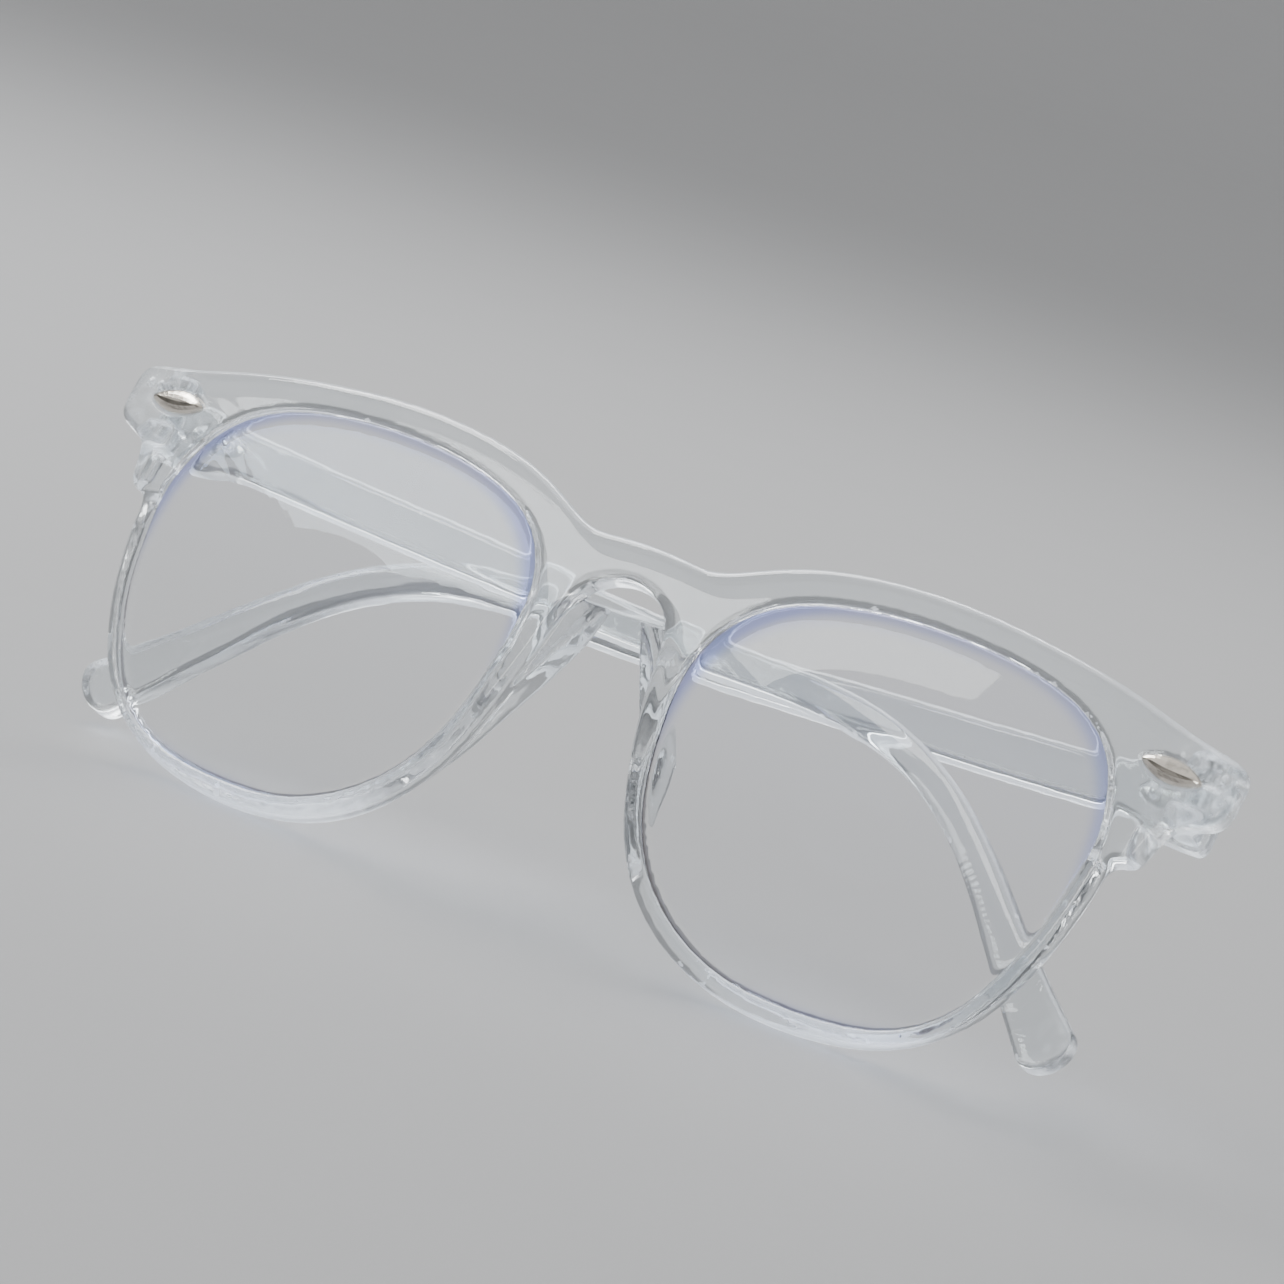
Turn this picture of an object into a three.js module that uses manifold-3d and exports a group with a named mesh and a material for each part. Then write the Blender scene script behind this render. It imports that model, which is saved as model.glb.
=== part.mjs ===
// Folded eyeglasses in clear plastic: one moulded front, two lenses, four silver studs,
// two temples and two hinge screws. Millimetres, +Z up, the front faces -Y.
// Everything is drawn on an upright front (x across, y back, z up, z = 0 at the middle of the
// lens openings, y = 0 at the face of the bridge) and the whole group leans back at the end.
import * as THREE from "three";
import { mergeVertices } from "three/addons/utils/BufferGeometryUtils.js";
import Module from "manifold-3d";

const wasm = await Module();
wasm.setup();

const LEAN = THREE.MathUtils.degToRad(22);
const WRAP = 0.00105;
const RISE = 0.004;
const FRONT_THICK = 4.2;
const ROUNDING = 1.1;
const OPENING_EDGE = 0.45;
const LONGEST_EDGE = 10;

const LENS_GAP = 0.25;
const LENS_BEVEL = 0.7;
const LENS_HALF = 0.95;
const LENS_MID_Y = 1.9;
const GROOVE_DEPTH = 0.8;

const PIN_X = 66.2;
const PIN_Y = 12.2;
const KNUCKLE_R = 1.9;
const CLEARANCE = 0.3;
const SCREW_R = 0.65;
const HEAD_R = 1.2;
const LOWER_KNUCKLE = [12.0, 14.4];
const MIDDLE_KNUCKLE = [14.7, 17.3];
const UPPER_KNUCKLE = [17.6, 20.4];
const HEAD_FLOOR = 19.4;
const BORE_BOTTOM = 12.8;
const END_BLOCK_BACK = 9.9;

const TEMPLE_INNER = 1.0;
const TEMPLE_THICK = 3.8;
const TEMPLE_ROUNDING = 0.7;
const BUTT = -1.8;
const FOLD_LEFT = THREE.MathUtils.degToRad(-1.5);
const FOLD_RIGHT = THREE.MathUtils.degToRad(2.8);

const STUD_LENGTH = 7.0;
const STUD_HEIGHT = 2.9;
const STUD_PROUD = 0.8;
const STUD_RECESS = 0.5;
const STUD_X = 64.2;
const STUD_Z = 17.0;
const STUD_TILT = THREE.MathUtils.degToRad(-3);
const RIVET_R = 0.45;
const RIVET_LENGTH = 2.2;
const RIVET_SPACING = 3;
const PLAQUE_U = 4.4;
const PLAQUE_Z = 16.0;

// Right half of the outer edge of the front, from the top of the bridge round to its arch.
const EDGE = [
  [0, 19.7], [4.2, 19.5], [7.2, 19.3], [9.6, 20.0], [12.3, 21.3], [15.6, 22.9], [19.5, 24.3],
  [25, 25.5], [32, 26.2], [39, 26.2], [46, 25.6], [52, 24.8], [58, 23.6], [64.5, 21.9],
  [68.9, 21.1], [70.6, 20.6], [71.4, 19.6], [71.5, 17.0], [71.2, 14.3], [70.2, 13.1],
  [68.0, 12.1], [66.4, 11.2], [65.9, 9.9], [65.4, 8.4], [65.0, 6.7], [64.2, 5.9], [62.7, 5.4],
  [62.0, 4.3], [61.7, 1.5], [61.2, -1.5],
  [60.0, -6.5], [58.3, -11], [56.3, -14.8], [53.6, -17.9], [50.3, -20.5], [46, -22.5],
  [41, -23.7], [35.5, -24.2], [30, -23.9], [25, -22.8], [20.4, -20.7], [16.3, -17.5],
  [13.4, -13.9], [11.5, -10.4], [10.1, -6.8], [8.9, -3], [8.0, 0.5], [7.2, 4.3], [6.7, 7.8],
  [6.0, 10.8], [4.6, 13.0], [2.5, 14.3], [0, 14.8],
];

// Right lens opening.
const OPENING = [
  [60.1, 5], [59.5, 0], [58.6, -5], [56.9, -10], [54.3, -15], [51, -18.5], [46.5, -20.8],
  [41, -21.9], [35, -22.2], [29.5, -21.8], [24.5, -20.3], [19.8, -17.6], [16, -13.9],
  [13.3, -9.4], [11.7, -4.6], [10.8, 0.5], [10.3, 5.5], [10.8, 10.4], [12.9, 14.8],
  [16.2, 18.0], [20.5, 20.1], [26.5, 21.6], [33, 22.3], [39.5, 22.3], [45.5, 21.7],
  [51, 20.3], [55.0, 18.0], [57.6, 15.0], [59.2, 11.2], [60, 8],
];

// How far the nose flange stands behind the rim, by height.
const FLANGE = [
  [11.6, 0], [9.8, 2.0], [7.8, 3.7], [5, 4.8], [2, 5.4], [-1, 5.4], [-4, 4.7],
  [-7, 3.5], [-10, 2.1], [-13.5, 0.8], [-17, -0.8],
];
const FLANGE_ROOT = 2.4;
const FLANGE_TIP = 2.1;
const FLANGE_SPLAY = 0.17;

// Middle line of a temple: distance from the hinge pin, height, half the height of the bar.
const TEMPLE = [
  [9, 15.6, 2.85], [25, 14.7, 2.75], [42, 13.9, 2.65], [58, 13.1, 2.4], [72, 12.6, 2.2],
  [86, 12.5, 2.0], [95, 11.5, 1.95], [102, 9.1, 1.9], [108, 5.6, 1.9], [114, 0.6, 2.05],
  [120, -5.5, 2.4], [125, -10.6, 2.9], [129.5, -14.9, 3.35],
];
const CELL_X = [67.4, 68.7, 70.0];
const CELL_SIZE = [0.75, 1.2, 1.4];
const CELL_Z = 18.6;
const WINDOW_X = [62.9, 64.4];
const WINDOW_Z = [6.9, 10.4];
const WINDOW_DEPTH = 2.2;
const TIP_CURVE = 0.0012;
const TIP_CURVE_FROM = 85;
const TIP_BLUNTNESS = 0.72;
const ROOT_TOP = 19.2;
const ROOT_BOTTOM = 11.6;
const ROOT_END = 3.6;

const clearPlastic = new THREE.MeshStandardMaterial({
  color: 0xe8edf0, roughness: 0.12, metalness: 0, transparent: true, opacity: 0.55,
});
const lensPlastic = new THREE.MeshStandardMaterial({
  color: 0xdfe6ff, roughness: 0.04, metalness: 0, transparent: true, opacity: 0.25,
});
const silver = new THREE.MeshStandardMaterial({ color: 0xb9b6ae, roughness: 0.25, metalness: 1 });

function toManifold(geometry) {
  const bare = geometry.clone();
  bare.deleteAttribute("normal");
  bare.deleteAttribute("uv");
  const merged = mergeVertices(bare, 1e-5);
  return new wasm.Manifold(new wasm.Mesh({
    numProp: 3,
    vertProperties: new Float32Array(merged.attributes.position.array),
    triVerts: new Uint32Array(merged.index.array),
  }));
}

function toGeometry(solid) {
  const mesh = solid.getMesh();
  const points = new Float32Array(mesh.numVert * 3);
  for (let i = 0; i < mesh.numVert; i += 1) {
    for (let c = 0; c < 3; c += 1) {
      points[i * 3 + c] = mesh.vertProperties[i * mesh.numProp + c];
    }
  }
  const geometry = new THREE.BufferGeometry();
  geometry.setAttribute("position", new THREE.BufferAttribute(points, 3));
  geometry.setIndex(new THREE.BufferAttribute(new Uint32Array(mesh.triVerts), 1));
  geometry.computeVertexNormals();
  return geometry;
}

// A smooth curve through the points, with the given number of steps between neighbours.
function smooth(points, steps, closed) {
  const curve = new THREE.CatmullRomCurve3(
    points.map((p) => new THREE.Vector3(p[0], p[1], p[2] ?? 0)), closed, "centripetal",
  );
  const count = (closed ? points.length : points.length - 1) * steps;
  const out = [];
  for (let i = 0; i < count + (closed ? 0 : 1); i += 1) {
    out.push(curve.getPoint(i / count));
  }
  return out;
}

const flat = (v) => new THREE.Vector2(v.x, v.y);

// Extrudes a shape drawn in x and z backwards along +y, starting at the given y.
function slab(shape, y, depth, bevel, segments) {
  const geometry = new THREE.ExtrudeGeometry(shape, {
    depth: depth - 2 * bevel,
    bevelEnabled: bevel > 0,
    bevelThickness: bevel,
    bevelSize: bevel,
    bevelOffset: -bevel,
    bevelSegments: segments,
    steps: 1,
    curveSegments: 8,
  });
  geometry.rotateX(Math.PI / 2);
  geometry.translate(0, y + depth - bevel, 0);
  return geometry;
}

// Curves a flat-drawn solid back, round the face and from top to bottom.
function bend(solid) {
  return solid.warp((v) => {
    v[1] += WRAP * v[0] ** 2 + RISE * v[2] ** 2;
  });
}

// Joins closed rings of equal length into one skin and closes both ends on their middles.
function loft(rings) {
  const n = rings[0].length;
  const points = [];
  const index = [];
  rings.forEach((ring) => ring.forEach((v) => points.push(v.x, v.y, v.z)));
  for (let r = 0; r + 1 < rings.length; r += 1) {
    for (let i = 0; i < n; i += 1) {
      const a = r * n + i;
      const b = r * n + ((i + 1) % n);
      index.push(a, b, a + n, b, b + n, a + n);
    }
  }
  [0, rings.length - 1].forEach((r) => {
    const centre = new THREE.Vector3();
    rings[r].forEach((v) => centre.add(v));
    centre.divideScalar(n);
    const c = points.length / 3;
    points.push(centre.x, centre.y, centre.z);
    for (let i = 0; i < n; i += 1) {
      const a = r * n + i;
      const b = r * n + ((i + 1) % n);
      index.push(...(r === 0 ? [c, b, a] : [c, a, b]));
    }
  });
  const geometry = new THREE.BufferGeometry();
  geometry.setAttribute("position", new THREE.BufferAttribute(new Float32Array(points), 3));
  geometry.setIndex(index);
  const solid = toManifold(geometry);
  if (solid.volume() > 0) {
    return geometry;
  }
  index.reverse();
  geometry.setIndex(index);
  return geometry;
}

// The closed loop moved outwards by a distance, in its own plane.
function grow(loop, distance) {
  const n = loop.length;
  let area = 0;
  loop.forEach((p, i) => {
    const q = loop[(i + 1) % n];
    area += p.x * q.y - q.x * p.y;
  });
  const side = Math.sign(area);
  return loop.map((p, i) => {
    const before = loop[(i + n - 1) % n];
    const after = loop[(i + 1) % n];
    const along = new THREE.Vector2(after.x - before.x, after.y - before.y).normalize();
    return new THREE.Vector2(p.x + side * along.y * distance, p.y - side * along.x * distance);
  });
}

function mirrored(points, sign) {
  return points.map((p) => [p[0] * sign, ...p.slice(1)]);
}

function cylinder(radius, bottom, top, x, y, sides = 24) {
  const geometry = new THREE.CylinderGeometry(radius, radius, top - bottom, sides);
  geometry.rotateX(Math.PI / 2);
  geometry.translate(x, y, (top + bottom) / 2);
  return geometry;
}

function block(x0, x1, y0, y1, z0, z1) {
  const geometry = new THREE.BoxGeometry(x1 - x0, y1 - y0, z1 - z0);
  geometry.translate((x0 + x1) / 2, (y0 + y1) / 2, (z0 + z1) / 2);
  return geometry;
}

// An almond: two arcs that meet in points at x = +-length / 2.
function almond(length, height, steps) {
  const half = length / 2;
  const loop = [];
  for (let i = 0; i < steps; i += 1) {
    const t = (i / steps) * 2 * Math.PI;
    loop.push(new THREE.Vector2(half * Math.cos(t), (height / 2) * Math.sin(t) ** 3 * 0.35
      + (height / 2) * Math.sin(t) * 0.65));
  }
  return loop;
}

// An almond stud that faces -y, its underside at y = 0 and two rivets behind it.
function stud() {
  const base = almond(STUD_LENGTH, STUD_HEIGHT, 24);
  const at = (scaleX, scaleZ, y) => base.map((p) => new THREE.Vector3(p.x * scaleX, y, p.y * scaleZ));
  const top = -(STUD_PROUD + STUD_RECESS);
  const skin = loft([
    at(1, 1, -0.15), at(1, 1, -STUD_RECESS - 0.15), at(0.93, 0.8, top + 0.34),
    at(0.8, 0.45, top + 0.1), at(0.62, 0.1, top),
  ]);
  let solid = toManifold(skin);
  [-1, 1].forEach((s) => {
    const rivet = cylinder(RIVET_R, -RIVET_LENGTH, 0.5, 0, 0, 12);
    rivet.rotateX(Math.PI / 2);
    rivet.translate((s * RIVET_SPACING) / 2, 0, 0);
    solid = solid.add(toManifold(rivet));
  });
  return solid;
}

// The space a stud needs in the plastic it is pressed into.
function studPocket() {
  const shape = new THREE.Shape(almond(STUD_LENGTH + 0.5, STUD_HEIGHT + 0.5, 24));
  let solid = toManifold(slab(shape, -2, 2, 0, 1));
  [-1, 1].forEach((s) => {
    const bore = cylinder(RIVET_R + 0.2, -RIVET_LENGTH - 0.3, 1, 0, 0, 12);
    bore.rotateX(Math.PI / 2);
    bore.translate((s * RIVET_SPACING) / 2, 0, 0);
    solid = solid.add(toManifold(bore));
  });
  return solid;
}

function placeOnFront(solid, sign) {
  return solid.rotate([0, sign * THREE.MathUtils.radToDeg(-STUD_TILT), 0])
    .translate([sign * STUD_X, STUD_RECESS, STUD_Z]);
}

function opening(sign) {
  const right = smooth(OPENING, 2, true).map(flat);
  return sign > 0 ? right : right.map((p) => new THREE.Vector2(-p.x, p.y)).reverse();
}

// A disc whose edge is a V, between two faces, for the lens and for the groove that holds it.
function edgedDisc(loop, inset, bulge, halfThick) {
  const face = grow(loop, inset);
  const ridge = grow(loop, bulge);
  const centre = new THREE.Vector2();
  face.forEach((p) => centre.add(p));
  centre.divideScalar(face.length);
  const ring = (source, share, y) => source.map((p) => new THREE.Vector3(
    centre.x + (p.x - centre.x) * share, LENS_MID_Y + y, centre.y + (p.y - centre.y) * share,
  ));
  return loft([
    ring(face, 0.35, -halfThick), ring(face, 0.7, -halfThick), ring(face, 1, -halfThick),
    ring(ridge, 1, 0),
    ring(face, 1, halfThick), ring(face, 0.7, halfThick), ring(face, 0.35, halfThick),
  ]);
}

function lens(sign) {
  const disc = edgedDisc(opening(sign), -LENS_GAP, LENS_BEVEL - LENS_GAP, LENS_HALF);
  return toGeometry(bend(toManifold(disc)));
}

// The lens opening right through the front, wider at both faces by the rounding of its edges.
function openingCutter(sign) {
  const loop = opening(sign);
  const depth = FRONT_THICK;
  const rows = [
    [-1, OPENING_EDGE], [0, OPENING_EDGE], [OPENING_EDGE / 2, OPENING_EDGE * 0.15],
    [OPENING_EDGE, 0], [depth - OPENING_EDGE, 0], [depth - OPENING_EDGE / 2, OPENING_EDGE * 0.15],
    [depth, OPENING_EDGE], [depth + 1, OPENING_EDGE],
  ];
  return toManifold(loft(rows.map(([y, wider]) => (
    grow(loop, wider).map((p) => new THREE.Vector3(p.x, y, p.y))
  ))));
}

function noseFlange(sign) {
  const rings = FLANGE.map(([z, behind]) => {
    const outer = edgeAt(z) + 0.25;
    const inner = openingAt(z) - 0.45;
    const back = FRONT_THICK + behind;
    const tip = Math.min(FLANGE_TIP, inner - outer);
    const y0 = FLANGE_ROOT;
    const end = outer + Math.max(behind, 0) * FLANGE_SPLAY;
    return [
      [outer, y0], [(outer + end) / 2, y0 + (back - y0) * 0.5], [end + 0.1, back - 0.7],
      [end + 0.55, back - 0.1], [end + tip * 0.5 + 0.1, back],
      [end + tip - 0.3, back - 0.25], [end + tip, back - 0.9],
      [(end + tip + inner) / 2, y0 + (back - y0) * 0.5], [inner, y0],
    ].map(([x, y]) => new THREE.Vector3(sign * x, y, z));
  });
  return toManifold(loft(rings));
}

// Distance from the middle to the nose side of the rim, and to the lens opening, at a height.
function crossing(loop, z) {
  const hits = [];
  loop.forEach((p, i) => {
    const q = loop[(i + 1) % loop.length];
    if ((p.y - z) * (q.y - z) <= 0 && p.y !== q.y) {
      hits.push(p.x + ((z - p.y) / (q.y - p.y)) * (q.x - p.x));
    }
  });
  return Math.min(...hits);
}

function edgeAt(z) {
  const nasal = smooth(EDGE.slice(-12), 3, false).map(flat);
  return crossing(nasal, z);
}

function openingAt(z) {
  return crossing(opening(1), z);
}

function frontKnuckle(sign, [bottom, top]) {
  const barrel = toManifold(cylinder(KNUCKLE_R, bottom, top, sign * PIN_X, PIN_Y));
  const web = toManifold(block(
    sign * PIN_X - KNUCKLE_R, sign * PIN_X + KNUCKLE_R, END_BLOCK_BACK - 1.2, PIN_Y, bottom, top,
  ));
  return barrel.add(web);
}

// Small moulding pockets in the back of the front's end: three cells and a window in the tab.
function endPockets(sign) {
  const [width, height, depth] = CELL_SIZE;
  const cells = CELL_X.map((x) => toManifold(block(
    sign * x - width / 2, sign * x + width / 2, END_BLOCK_BACK - depth, END_BLOCK_BACK + 2,
    CELL_Z - height / 2, CELL_Z + height / 2,
  )));
  const [inner, outer] = WINDOW_X.map((x) => sign * x).sort((a, b) => a - b);
  const back = FRONT_THICK + WRAP * WINDOW_X[0] ** 2;
  cells.push(toManifold(block(inner, outer, back - WINDOW_DEPTH, back + 4, ...WINDOW_Z)));
  return cells.reduce((all, cell) => all.add(cell));
}

function frontFrame() {
  const right = EDGE.slice(0, -1);
  const left = mirrored(EDGE, -1).reverse().slice(0, -1);
  const outline = smooth([...right, ...left], 2, true).map(flat);
  const shape = new THREE.Shape(outline);
  let body = toManifold(slab(shape, 0, FRONT_THICK, ROUNDING, 3));
  [1, -1].forEach((sign) => {
    body = body.add(noseFlange(sign)).subtract(openingCutter(sign));
    body = body.subtract(toManifold(edgedDisc(opening(sign), -0.5, GROOVE_DEPTH, 1.5)));
    body = body.subtract(placeOnFront(studPocket(), sign));
  });
  body = bend(body.refineToLength(LONGEST_EDGE));
  [1, -1].forEach((sign) => {
    const edge = [sign * 63.4, sign * 75].sort((a, b) => a - b);
    body = body.subtract(toManifold(block(...edge, END_BLOCK_BACK, 20, 0, 25)));
    body = body.add(frontKnuckle(sign, LOWER_KNUCKLE)).add(frontKnuckle(sign, UPPER_KNUCKLE));
    body = body.subtract(endPockets(sign));
    const bore = cylinder(SCREW_R + CLEARANCE, BORE_BOTTOM, 22, sign * PIN_X, PIN_Y);
    const sink = cylinder(HEAD_R + CLEARANCE, HEAD_FLOOR, 22, sign * PIN_X, PIN_Y);
    body = body.subtract(toManifold(bore)).subtract(toManifold(sink));
  });
  return toGeometry(body);
}

function hingeScrew(sign) {
  const shaft = toManifold(cylinder(SCREW_R, BORE_BOTTOM + 0.2, HEAD_FLOOR + 0.4, sign * PIN_X, PIN_Y, 16));
  const head = toManifold(cylinder(HEAD_R, HEAD_FLOOR + 0.15, HEAD_FLOOR + 0.9, sign * PIN_X, PIN_Y, 20));
  const slot = block(
    sign * PIN_X - 2, sign * PIN_X + 2, PIN_Y - 0.2, PIN_Y + 0.2, HEAD_FLOOR + 0.55, 22,
  );
  return toGeometry(shaft.add(head).subtract(toManifold(slot)));
}

// The side of a temple, from the hinge end round the tip and back: x from the pin, then height.
function templeOutline() {
  const line = smooth(TEMPLE, 3, false);
  const top = [];
  const bottom = [];
  line.forEach((p, i) => {
    const a = line[Math.max(i - 1, 0)];
    const b = line[Math.min(i + 1, line.length - 1)];
    const along = new THREE.Vector2(b.x - a.x, b.y - a.y).normalize();
    top.push(new THREE.Vector2(p.x - along.y * p.z, p.y + along.x * p.z));
    bottom.push(new THREE.Vector2(p.x + along.y * p.z, p.y - along.x * p.z));
  });
  const end = line[line.length - 1];
  const before = line[line.length - 2];
  const heading = Math.atan2(end.y - before.y, end.x - before.x);
  const tip = [];
  for (let i = 1; i < 10; i += 1) {
    const a = heading + Math.PI / 2 - (i / 10) * Math.PI;
    const out = end.z * TIP_BLUNTNESS * Math.cos(a - heading);
    const side = end.z * Math.sin(a - heading);
    tip.push(new THREE.Vector2(
      end.x + out * Math.cos(heading) - side * Math.sin(heading),
      end.y + out * Math.sin(heading) + side * Math.cos(heading),
    ));
  }
  const root = [
    new THREE.Vector2(ROOT_END + 3.4, ROOT_BOTTOM + 0.9), new THREE.Vector2(ROOT_END + 1.6, ROOT_BOTTOM + 0.4),
    new THREE.Vector2(ROOT_END, ROOT_BOTTOM + 0.1), new THREE.Vector2(ROOT_END - 2.2, ROOT_BOTTOM),
    new THREE.Vector2(BUTT + 1.0, ROOT_BOTTOM), new THREE.Vector2(BUTT + 0.3, ROOT_BOTTOM + 0.3),
    new THREE.Vector2(BUTT, ROOT_BOTTOM + 1.0), new THREE.Vector2(BUTT, ROOT_TOP - 1.0),
    new THREE.Vector2(BUTT + 0.3, ROOT_TOP - 0.3), new THREE.Vector2(BUTT + 1.0, ROOT_TOP),
    new THREE.Vector2(ROOT_END, ROOT_TOP - 0.05),
  ];
  return [...top, ...tip, ...bottom.reverse(), ...root];
}

// A temple along +x from its pin at the origin, its outer face towards +y.
function templeSolid() {
  const outline = new THREE.Shape(templeOutline());
  let body = toManifold(slab(outline, TEMPLE_INNER, TEMPLE_THICK, TEMPLE_ROUNDING, 2));
  body = body.warp((v) => {
    v[1] -= TIP_CURVE * Math.max(v[0] - TIP_CURVE_FROM, 0) ** 2;
  });
  body = body.subtract(turnedPocket());
  [LOWER_KNUCKLE, UPPER_KNUCKLE].forEach(([bottom, top]) => {
    const reach = KNUCKLE_R + CLEARANCE;
    const z0 = bottom - CLEARANCE;
    const z1 = top + CLEARANCE;
    body = body.subtract(toManifold(cylinder(reach, z0, z1, 0, 0)));
    body = body.subtract(toManifold(block(BUTT - 2, 0, -reach, reach, z0, z1)));
  });
  const [bottom, top] = MIDDLE_KNUCKLE;
  body = body.add(toManifold(cylinder(KNUCKLE_R, bottom, top, 0, 0)));
  body = body.add(toManifold(block(-KNUCKLE_R + 0.2, KNUCKLE_R, 0, TEMPLE_INNER + 1.2, bottom, top)));
  return body.subtract(toManifold(cylinder(SCREW_R + CLEARANCE, 5, 22, 0, 0)));
}

function turnedPocket() {
  return studPocket().rotate([0, 0, 180])
    .translate([PLAQUE_U, TEMPLE_INNER + TEMPLE_THICK - STUD_RECESS, PLAQUE_Z]);
}

function turnedStud() {
  return stud().rotate([0, 0, 180])
    .translate([PLAQUE_U, TEMPLE_INNER + TEMPLE_THICK - STUD_RECESS, PLAQUE_Z]);
}

// Sets a left-hand temple piece on its hinge; the right-hand one is its mirror image.
function onHinge(solid, sign) {
  const fold = sign < 0 ? FOLD_LEFT : FOLD_RIGHT;
  const turned = solid.rotate([0, 0, THREE.MathUtils.radToDeg(fold)])
    .translate([-PIN_X, PIN_Y, 0]);
  return toGeometry(sign < 0 ? turned : turned.mirror([1, 0, 0]));
}

function piece(name, geometry, material) {
  const mesh = new THREE.Mesh(geometry, material);
  mesh.name = name;
  return mesh;
}

const glasses = new THREE.Group();
glasses.name = "eyeglasses";
glasses.add(piece("front_frame", frontFrame(), clearPlastic));
[["left", -1], ["right", 1]].forEach(([side, sign]) => {
  glasses.add(piece(`lens_${side}`, lens(sign), lensPlastic));
  glasses.add(piece(`front_stud_${side}`, toGeometry(bend(placeOnFront(stud(), sign))), silver));
  glasses.add(piece(`hinge_screw_${side}`, hingeScrew(sign), silver));
  glasses.add(piece(`temple_${side}`, onHinge(templeSolid(), sign), clearPlastic));
  glasses.add(piece(`temple_stud_${side}`, onHinge(turnedStud(), sign), silver));
});

// Leans the group back and sets it on the ground, its box centred on the origin.
const bounds = new THREE.Box3();
glasses.children.forEach((mesh) => {
  mesh.geometry.rotateX(-LEAN);
  mesh.geometry.computeBoundingBox();
  bounds.union(mesh.geometry.boundingBox);
});
const centre = bounds.getCenter(new THREE.Vector3());
glasses.children.forEach((mesh) => {
  mesh.geometry.translate(-centre.x, -centre.y, -bounds.min.z);
  mesh.geometry.computeVertexNormals();
});

export default glasses;
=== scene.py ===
# Looks of a pair of folded clear plastic eyeglasses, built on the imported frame. Metres, +Z up.
import math

import bpy
from mathutils import Euler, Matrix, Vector


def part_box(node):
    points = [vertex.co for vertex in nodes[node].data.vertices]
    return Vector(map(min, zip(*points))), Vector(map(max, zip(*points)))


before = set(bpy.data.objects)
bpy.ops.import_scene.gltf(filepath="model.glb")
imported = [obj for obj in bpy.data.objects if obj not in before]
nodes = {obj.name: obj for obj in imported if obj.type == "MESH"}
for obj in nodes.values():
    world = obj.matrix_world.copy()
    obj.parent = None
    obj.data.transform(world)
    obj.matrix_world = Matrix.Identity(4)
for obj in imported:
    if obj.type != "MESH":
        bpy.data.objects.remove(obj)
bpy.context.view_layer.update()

# Camera: its turn is in degrees, and its lens and sensor are in millimetres.
CAMERA_AT = (0.25396, -0.54245, 0.11834)
CAMERA_TURN = (81.42, -16.707, 27.409)
CAMERA_LENS = 154.2
CAMERA_SENSOR = 36.0

# The smooth skin over the moulded pieces.
FINE = 0.00025
LENS_FINE = 0.0003
SMOOTHING_PASSES = 13
SMOOTHING_FACTOR = 0.5

# Clear plastic. Noise scales are in cycles per metre, roughly.
PLASTIC_TINT = (0.84, 0.885, 0.91)
CLEAREST_TINT = (0.92, 0.945, 0.955)
HAZE_TINT = (0.72, 0.78, 0.82)
PLASTIC_SHADOW = (0.80, 0.82, 0.845)
PLASTIC_IOR = 1.47
PLASTIC_COAT = 0.35
COAT_ROUGHNESS = 0.03
CLOUD_SCALE = 90
FLOW_SCALE = 240
SPECK_SCALE = 2600
SPECK_STOPS = [(0.66, 0), (0.74, 1)]
SPECK_HAZE = 0.25
SPECK_ROUGHNESS = 0.10
SCRATCH_SCALE = 900
SCRATCH_DEPTH = 0.000004
FRONT_HAZE = 0.025
FRONT_WAVES = 0.00004
ARM_HAZE = 0.035
ARM_WAVES = 0.00005

# White in the plastic: painted highlights on its outer edges and its level sides, standing in for
# bright reflected and refracted light there, and real frost around the hinges.
MILK_AND_HIGHLIGHT_WHITE = (0.93, 0.96, 1.0)
EDGE_BEND = (0.519, 0.575)
# Painted highlight: how much white goes on the edges and on the level sides.
EDGE_PAINTED_HIGHLIGHT = 0.6
BAND_FACING = (0.62, 0.88)
BAND_PAINTED_HIGHLIGHT = 0.42
CLOUD_MILK = 0.05
FRONT_HINGE = (0.0605, 0.0665)
ARM_HINGE = (0.0600, 0.0665)
HINGE_ROUGHNESS = 0.16
FROST_SCALE = 620
FROST_STOPS = [(0.45, 0.0), (0.68, 0.22)]

# Coated lens. The outline's power makes the painted blue rim reflection follow a rounded square.
LENS_TINT = (0.985, 0.99, 1.0)
# Painted reflection: the blue-violet that the lens colour turns to at the rim.
RIM_REFLECTION_BLUE = (0.50, 0.56, 1.0)
COATING_SHINE = (0.62, 0.66, 1.0, 1)
COATING_TOP = (0.94, 0.95, 1.0, 1)
LENS_SHADOW = (0.95, 0.95, 0.97)
LENS_IOR = 1.5
LENS_OUTLINE = 2.7
RIM_STOPS = [(0.80, 0), (0.97, 1)]
RIM_BLUE = 0.9
SMEAR_SCALE = 70
SMEAR_ROUGHNESS = 0.02
LENS_COAT = 0.2
FILM_NANOMETRES = 330
FILM_IOR = 1.38

# Metal.
SILVER = (0.80, 0.745, 0.66)
# A brighter copy of the silver for the studs on the arms: painted light, making up for the light
# they lose behind the plastic.
SILVER_PAINTED_BRIGHT = (0.97, 0.93, 0.87)
STEEL = (0.62, 0.62, 0.62)
GRIME_SHARE = 0.62
GRIME_SCALE = 700
GRIME_STOPS = [(0.45, 0), (0.75, 1)]
GRAIN_SCALE = 3500
GRAIN_DEPTH = 0.00002
GRAIN_ROUGHNESS = 0.18
METAL_ROUGHNESS = 0.12

# Floor and backdrop. The floor's turn is in degrees.
FLOOR_COLOUR = (0.245, 0.247, 0.252)
MOTTLE_SHARE = 0.97
MOTTLE_SCALE = 35
FLOOR_GRAIN = 1500
FLOOR_DEPTH = 0.0001
FLOOR_ROUGHNESS = 0.75
FLOOR_TURN = 25
FLOOR_NEAR = 6.0
FLOOR_FAR = 3.0
FLOOR_HALF_WIDTH = 6.0
WALL_CURVE = 2.0
WALL_STEPS = 16
WALL_HEIGHT = 5.0

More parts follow.
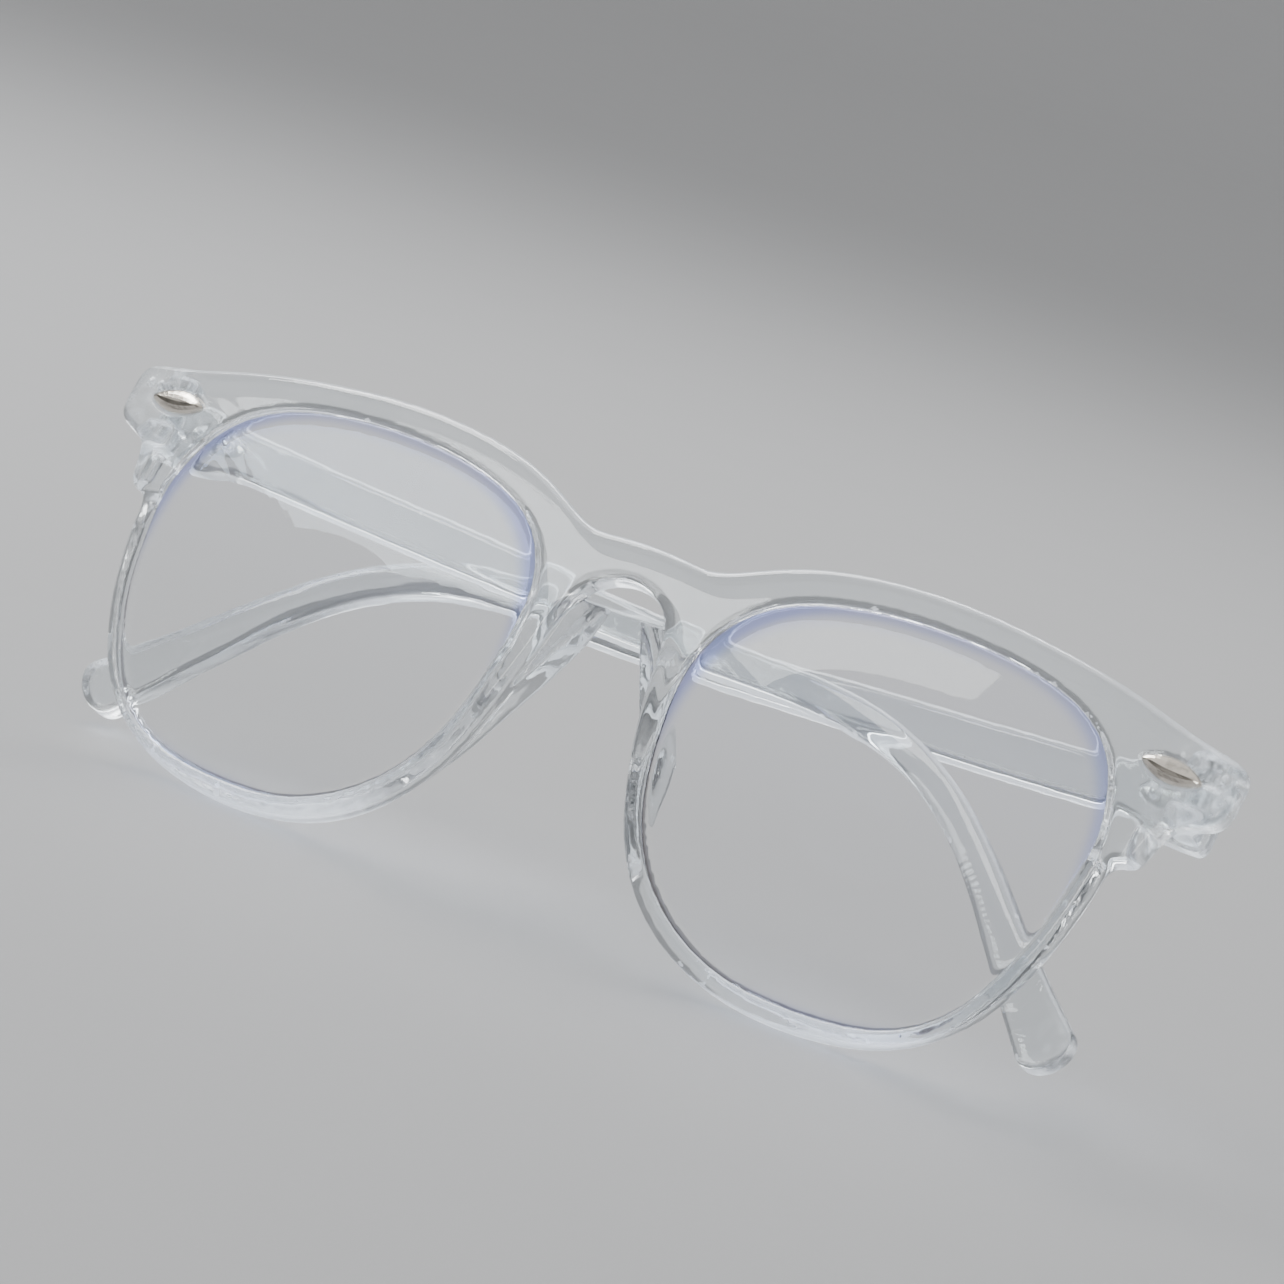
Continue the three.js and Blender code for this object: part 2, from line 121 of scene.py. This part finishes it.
# Lights: name, place, size in metres and power in watts. They face LIGHT_TARGET.
LIGHT_TARGET = (0, 0, 0.025)
AREA_LIGHTS = [
    ("key", (-0.5, 0.1, 0.8), (0.45, 0.3), 5),
    ("fill", (0.75, -0.75, 0.35), (0.2, 0.5), 2.5),
    ("edge", (-0.42, 0.50, 0.72), (0.7, 0.25), 9),
]
WINDOW_STRENGTH = 2.6
WINDOW_SPREAD = 35
WINDOW_TURN = (25, -30, 0)
ROOM_STOPS = [(0.0, 0.10), (0.35, 0.16), (0.75, 1.0)]
ROOM_STRENGTH = 0.9


def new_material(name):
    material = bpy.data.materials.new(name)
    material.use_nodes = True
    tree = material.node_tree
    tree.nodes.clear()
    return material, tree


def show(tree, shader):
    """Makes a shader the material's surface."""
    out = tree.nodes.new("ShaderNodeOutputMaterial")
    tree.links.new(shader, out.inputs["Surface"])


def ramp(tree, source, stops):
    """A soft grey ramp through (position, value) stops."""
    node = tree.nodes.new("ShaderNodeValToRGB")
    node.color_ramp.interpolation = "EASE"
    elements = node.color_ramp.elements
    while len(elements) < len(stops):
        elements.new(0.5)
    for element, (place, value) in zip(elements, stops):
        element.position = place
        element.color = (value, value, value, 1)
    tree.links.new(source, node.inputs[0])
    return node.outputs[0]


def mixed(tree, factor, first, second):
    """A colour between two, each given as a colour or as another node's output."""
    node = tree.nodes.new("ShaderNodeMix")
    node.data_type = "RGBA"
    for socket, value in ((node.inputs[6], first), (node.inputs[7], second)):
        if isinstance(value, tuple):
            socket.default_value = (*value, 1)
        else:
            tree.links.new(value, socket)
    tree.links.new(factor, node.inputs[0])
    return node.outputs[2]


def mixed_shaders(tree, factor, first, second):
    """A shader between two, by a plain number or another node's output."""
    node = tree.nodes.new("ShaderNodeMixShader")
    if isinstance(factor, float):
        node.inputs[0].default_value = factor
    else:
        tree.links.new(factor, node.inputs[0])
    tree.links.new(first, node.inputs[1])
    tree.links.new(second, node.inputs[2])
    return node.outputs[0]


def calculated(tree, operation, first, second=0.0, clamp=True):
    """A math node. Sums and products are held between 0 and 1 unless clamp is off."""
    node = tree.nodes.new("ShaderNodeMath")
    node.operation = operation
    node.use_clamp = clamp and operation in ("ADD", "MULTIPLY")
    for socket, value in ((node.inputs[0], first), (node.inputs[1], second)):
        if isinstance(value, (int, float)):
            socket.default_value = value
        else:
            tree.links.new(value, socket)
    return node.outputs[0]


def place_axes(tree):
    """The X, Y and Z of a point on the object, as the outputs of one node."""
    place = tree.nodes.new("ShaderNodeTexCoord")
    split = tree.nodes.new("ShaderNodeSeparateXYZ")
    tree.links.new(place.outputs["Object"], split.inputs[0])
    return split.outputs


def eased(tree, source, start, full):
    """0 below start, 1 above full and a smooth step between."""
    node = tree.nodes.new("ShaderNodeMapRange")
    node.interpolation_type = "SMOOTHSTEP"
    node.inputs["From Min"].default_value = start
    node.inputs["From Max"].default_value = full
    tree.links.new(source, node.inputs["Value"])
    return node.outputs[0]


def noise(tree, scale, detail=3.0, stretch=(1, 1, 1)):
    place = tree.nodes.new("ShaderNodeTexCoord")
    mapping = tree.nodes.new("ShaderNodeMapping")
    mapping.inputs["Scale"].default_value = stretch
    tree.links.new(place.outputs["Object"], mapping.inputs["Vector"])
    texture = tree.nodes.new("ShaderNodeTexNoise")
    texture.inputs["Scale"].default_value = scale
    texture.inputs["Detail"].default_value = detail
    tree.links.new(mapping.outputs["Vector"], texture.inputs["Vector"])
    return texture.outputs[0]


def bump(tree, height, distance, strength, under=None):
    """A bump of a height, laid over another bump if one is given."""
    node = tree.nodes.new("ShaderNodeBump")
    node.inputs["Strength"].default_value = strength
    node.inputs["Distance"].default_value = distance
    tree.links.new(height, node.inputs["Height"])
    if under is not None:
        tree.links.new(under, node.inputs["Normal"])
    return node.outputs[0]


def light_shadow(tree, shader, clearness):
    """Lets part of the light through where only a shadow is asked for, as clear plastic does."""
    path = tree.nodes.new("ShaderNodeLightPath")
    clear = tree.nodes.new("ShaderNodeBsdfTransparent")
    clear.inputs[0].default_value = (*clearness, 1)
    show(tree, mixed_shaders(tree, path.outputs["Is Shadow Ray"], shader, clear.outputs[0]))


def hinge_zone(tree, inner, outer):
    """1 at the ends of the front, where the hinges are, and 0 over the rest."""
    across = calculated(tree, "ABSOLUTE", place_axes(tree)["X"])
    return eased(tree, across, inner, outer)


def edge_highlight_mask(tree, start, full):
    """1 along the rounded outer edges, from how sharply the surface bends, and 0 on the faces. It
    places the painted edge highlight.
    """
    geometry = tree.nodes.new("ShaderNodeNewGeometry")
    return eased(tree, geometry.outputs["Pointiness"], start, full)


def highlight_band_mask(tree, start, full):
    """1 where the surface faces up or down, on the narrow top and bottom sides of a moulding. It
    places the painted highlight bands.
    """
    geometry = tree.nodes.new("ShaderNodeNewGeometry")
    split = tree.nodes.new("ShaderNodeSeparateXYZ")
    tree.links.new(geometry.outputs["Normal"], split.inputs[0])
    upright = calculated(tree, "ABSOLUTE", split.outputs["Z"])
    return ramp(tree, upright, [(start, 0), (full, 1)])


def mixed_with_white(tree, share, clear_shader):
    """Mixes scattered white light into a clear shader, by a share from 0 to 1: painted highlights
    where the share comes from edges and level sides, real cloudiness and frost elsewhere.
    """
    white = tree.nodes.new("ShaderNodeBsdfDiffuse")
    white.inputs["Color"].default_value = (*MILK_AND_HIGHLIGHT_WHITE, 1)
    glow = tree.nodes.new("ShaderNodeBsdfTranslucent")
    glow.inputs["Color"].default_value = (*MILK_AND_HIGHLIGHT_WHITE, 1)
    both = mixed_shaders(tree, 0.5, white.outputs[0], glow.outputs[0])
    return mixed_shaders(tree, share, clear_shader, both)


def milk_and_painted_highlight(tree, cloud, hinge_share):
    """How much white goes into the plastic: painted highlights on edges or level sides, then a
    little real cloudiness and the hinge's frost.
    """
    # Painted highlight: white along the edges and on the up- and down-facing sides, where bright
    # reflected and refracted light shows.
    edges = calculated(tree, "MULTIPLY", edge_highlight_mask(tree, *EDGE_BEND), EDGE_PAINTED_HIGHLIGHT)
    bands = calculated(tree, "MULTIPLY", highlight_band_mask(tree, *BAND_FACING), BAND_PAINTED_HIGHLIGHT)
    milk_and_highlight_share = calculated(tree, "MAXIMUM", edges, bands)
    milk_and_highlight_share = calculated(tree, "ADD", milk_and_highlight_share, calculated(tree, "MULTIPLY", cloud, CLOUD_MILK))
    patches = ramp(tree, noise(tree, FROST_SCALE), FROST_STOPS)
    frost = calculated(tree, "MULTIPLY", hinge_share, patches)
    return calculated(tree, "ADD", milk_and_highlight_share, frost)


def clear_plastic(name, haze, waves, hinge):
    """Moulded clear plastic: faint flow lines, a little haze, fine scratches and dust."""
    material, tree = new_material(name)
    shader = tree.nodes.new("ShaderNodeBsdfPrincipled")
    shader.inputs["IOR"].default_value = PLASTIC_IOR
    shader.inputs["Transmission Weight"].default_value = 1.0
    shader.inputs["Coat Weight"].default_value = PLASTIC_COAT
    shader.inputs["Coat Roughness"].default_value = COAT_ROUGHNESS
    cloud = noise(tree, CLOUD_SCALE, 4)
    specks = ramp(tree, noise(tree, SPECK_SCALE, 1), SPECK_STOPS)
    tint = mixed(tree, cloud, PLASTIC_TINT, CLEAREST_TINT)
    dusty = mixed(tree, calculated(tree, "MULTIPLY", specks, SPECK_HAZE), tint, HAZE_TINT)
    tree.links.new(dusty, shader.inputs["Base Color"])
    hinge_share = hinge_zone(tree, *hinge)
    rough = calculated(tree, "MULTIPLY", cloud, 2 * haze)
    for source, amount in ((specks, SPECK_ROUGHNESS), (hinge_share, HINGE_ROUGHNESS)):
        rough = calculated(tree, "ADD", rough, calculated(tree, "MULTIPLY", source, amount))
    tree.links.new(rough, shader.inputs["Roughness"])
    wavy = bump(tree, noise(tree, FLOW_SCALE, 2, (0.25, 1, 1)), waves, 0.6)
    scratches = noise(tree, SCRATCH_SCALE, 2, (0.08, 1, 1))
    tree.links.new(bump(tree, scratches, SCRATCH_DEPTH, 0.3, wavy), shader.inputs["Normal"])
    # The white share holds painted highlights as well as real cloudiness and frost.
    milk_and_highlight_share = milk_and_painted_highlight(tree, cloud, hinge_share)
    light_shadow(tree, mixed_with_white(tree, milk_and_highlight_share, shader.outputs[0]), PLASTIC_SHADOW)
    return material


def lens_rim(tree, node):
    """0 over the middle of a lens and 1 at its rim, by powers of the distances from its centre."""
    low, high = (Vector(corner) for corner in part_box(node))
    middle = (low + high) / 2
    half = (high - low) / 2
    axes = place_axes(tree)
    terms = []
    for axis, centre, extent in (("X", middle.x, half.x), ("Z", middle.z, half.z)):
        share = calculated(tree, "SUBTRACT", axes[axis], centre)
        share = calculated(tree, "DIVIDE", calculated(tree, "ABSOLUTE", share), extent)
        terms.append(calculated(tree, "POWER", share, LENS_OUTLINE))
    return ramp(tree, calculated(tree, "ADD", *terms, clamp=False), RIM_STOPS)


def coated_lens(name, node):
    """Thin clear coated lens: a blue-violet reflection painted into its colour at the rim, and a
    few smears.
    """
    material, tree = new_material(name)
    shader = tree.nodes.new("ShaderNodeBsdfPrincipled")
    shader.inputs["IOR"].default_value = LENS_IOR
    shader.inputs["Transmission Weight"].default_value = 1.0
    shader.inputs["Specular Tint"].default_value = COATING_SHINE
    shader.inputs["Coat Weight"].default_value = LENS_COAT
    shader.inputs["Coat Tint"].default_value = COATING_TOP
    shader.inputs["Thin Film Thickness"].default_value = FILM_NANOMETRES
    shader.inputs["Thin Film IOR"].default_value = FILM_IOR
    smears = calculated(tree, "MULTIPLY", noise(tree, SMEAR_SCALE, 5, (1, 1, 0.4)), SMEAR_ROUGHNESS)
    tree.links.new(smears, shader.inputs["Roughness"])
    # Painted reflection: towards the rim the lens colour turns blue-violet, standing in for the
    # coating's blue reflection there.
    blue_share = calculated(tree, "MULTIPLY", lens_rim(tree, node), RIM_BLUE)
    blue = mixed(tree, blue_share, LENS_TINT, RIM_REFLECTION_BLUE)
    tree.links.new(blue, shader.inputs["Base Color"])
    light_shadow(tree, shader.outputs[0], LENS_SHADOW)
    return material


def polished_metal(name, colour, stretch):
    """Plated metal: brushed along one way, with small darker patches of grime."""
    material, tree = new_material(name)
    shader = tree.nodes.new("ShaderNodeBsdfPrincipled")
    shader.inputs["Metallic"].default_value = 1.0
    patches = ramp(tree, noise(tree, GRIME_SCALE), GRIME_STOPS)
    dark = tuple(GRIME_SHARE * c for c in colour)
    tree.links.new(mixed(tree, patches, colour, dark), shader.inputs["Base Color"])
    grain = noise(tree, GRAIN_SCALE, 2, stretch)
    rough = calculated(tree, "MULTIPLY", grain, GRAIN_ROUGHNESS)
    tree.links.new(calculated(tree, "ADD", rough, METAL_ROUGHNESS), shader.inputs["Roughness"])
    tree.links.new(bump(tree, grain, GRAIN_DEPTH, 0.4), shader.inputs["Normal"])
    show(tree, shader.outputs[0])
    return material


def plain_floor(name):
    """Pale matt floor with a very faint mottle and grain."""
    material, tree = new_material(name)
    shader = tree.nodes.new("ShaderNodeBsdfPrincipled")
    shader.inputs["Roughness"].default_value = FLOOR_ROUGHNESS
    mottled = tuple(MOTTLE_SHARE * c for c in FLOOR_COLOUR)
    tone = mixed(tree, noise(tree, MOTTLE_SCALE, 4), FLOOR_COLOUR, mottled)
    tree.links.new(tone, shader.inputs["Base Color"])
    tree.links.new(bump(tree, noise(tree, FLOOR_GRAIN), FLOOR_DEPTH, 0.3), shader.inputs["Normal"])
    show(tree, shader.outputs[0])
    return material


def dress(node, material):
    mesh = nodes[node].data
    mesh.materials.clear()
    mesh.materials.append(material)


def refine(node, size):
    """Rounds a moulded piece's flats and creases off, as a fine skin over the CAD shape."""
    piece = nodes[node]
    remesh = piece.modifiers.new("fine_skin", "REMESH")
    remesh.mode = "VOXEL"
    remesh.voxel_size = size
    remesh.use_smooth_shade = True
    soften = piece.modifiers.new("soften", "SMOOTH")
    soften.iterations = SMOOTHING_PASSES
    soften.factor = SMOOTHING_FACTOR


def make_materials():
    front = clear_plastic("moulded_front", FRONT_HAZE, FRONT_WAVES, FRONT_HINGE)
    arms = clear_plastic("moulded_arm", ARM_HAZE, ARM_WAVES, ARM_HINGE)
    silver = polished_metal("plated_stud", SILVER, (0.15, 1, 1))
    # Painted light: the same plated metal, made brighter for the studs behind the plastic of the
    # arms.
    brightened_silver = polished_metal("plated_stud_painted_bright", SILVER_PAINTED_BRIGHT, (1, 1, 1))
    steel = polished_metal("hinge_steel", STEEL, (1, 1, 0.2))
    dress("front_frame", front)
    refine("front_frame", FINE)
    for side in ("left", "right"):
        dress("temple_" + side, arms)
        refine("temple_" + side, FINE)
        dress("lens_" + side, coated_lens("coated_lens_" + side, "lens_" + side))
        refine("lens_" + side, LENS_FINE)
        dress("front_stud_" + side, silver)
        dress("temple_stud_" + side, brightened_silver)
        dress("hinge_screw_" + side, steel)


def make_backdrop():
    """A floor that curves up into a wall far behind, square to the camera's direction."""
    turn = math.radians(FLOOR_TURN)
    profile = [(-FLOOR_NEAR, 0.0), (FLOOR_FAR, 0.0)]
    for step in range(1, WALL_STEPS + 1):
        angle = step / WALL_STEPS * math.pi / 2
        away = FLOOR_FAR + WALL_CURVE * math.sin(angle)
        profile.append((away, WALL_CURVE * (1 - math.cos(angle))))
    profile.append((FLOOR_FAR + WALL_CURVE, WALL_HEIGHT))
    points = []
    for away, up in profile:
        for across in (-FLOOR_HALF_WIDTH, FLOOR_HALF_WIDTH):
            x = across * math.cos(turn) - away * math.sin(turn)
            y = across * math.sin(turn) + away * math.cos(turn)
            points.append((x, y, up))
    faces = [(2 * i, 2 * i + 1, 2 * i + 3, 2 * i + 2) for i in range(len(profile) - 1)]
    mesh = bpy.data.meshes.new("floor")
    mesh.from_pydata(points, [], faces)
    mesh.shade_smooth()
    mesh.materials.append(plain_floor("pale_floor"))
    floor = bpy.data.objects.new("floor", mesh)
    bpy.context.collection.objects.link(floor)


def area_light(name, at, size, power):
    data = bpy.data.lights.new(name, "AREA")
    data.shape = "RECTANGLE"
    data.size, data.size_y = size
    data.energy = power
    lamp = bpy.data.objects.new(name, data)
    lamp.location = at
    direction = Vector(LIGHT_TARGET) - Vector(at)
    lamp.rotation_euler = direction.to_track_quat("-Z", "Y").to_euler()
    bpy.context.collection.objects.link(lamp)


def window_light():
    """Broad soft light from one side. It makes no glint of its own on the lenses."""
    data = bpy.data.lights.new("window", "SUN")
    data.energy = WINDOW_STRENGTH
    data.angle = math.radians(WINDOW_SPREAD)
    lamp = bpy.data.objects.new("window", data)
    lamp.rotation_euler = [math.radians(a) for a in WINDOW_TURN]
    lamp.visible_glossy = False
    bpy.context.collection.objects.link(lamp)


def soft_room():
    """World light that is bright overhead and dim at the horizon and below."""
    world = bpy.data.worlds.new("soft_room")
    world.use_nodes = True
    tree = world.node_tree
    place = tree.nodes.new("ShaderNodeTexCoord")
    split = tree.nodes.new("ShaderNodeSeparateXYZ")
    tree.links.new(place.outputs["Generated"], split.inputs[0])
    background = tree.nodes["Background"]
    tree.links.new(ramp(tree, split.outputs["Z"], ROOM_STOPS), background.inputs["Color"])
    background.inputs["Strength"].default_value = ROOM_STRENGTH
    bpy.context.scene.world = world


def make_camera():
    data = bpy.data.cameras.new("camera")
    data.lens = CAMERA_LENS
    data.sensor_width = CAMERA_SENSOR
    data.clip_start = 0.01
    data.clip_end = 20
    camera = bpy.data.objects.new("camera", data)
    camera.location = CAMERA_AT
    camera.rotation_euler = Euler([math.radians(a) for a in CAMERA_TURN], "XYZ")
    bpy.context.collection.objects.link(camera)
    bpy.context.scene.camera = camera


make_camera()
for light in AREA_LIGHTS:
    area_light(*light)
window_light()
soft_room()
make_backdrop()
make_materials()
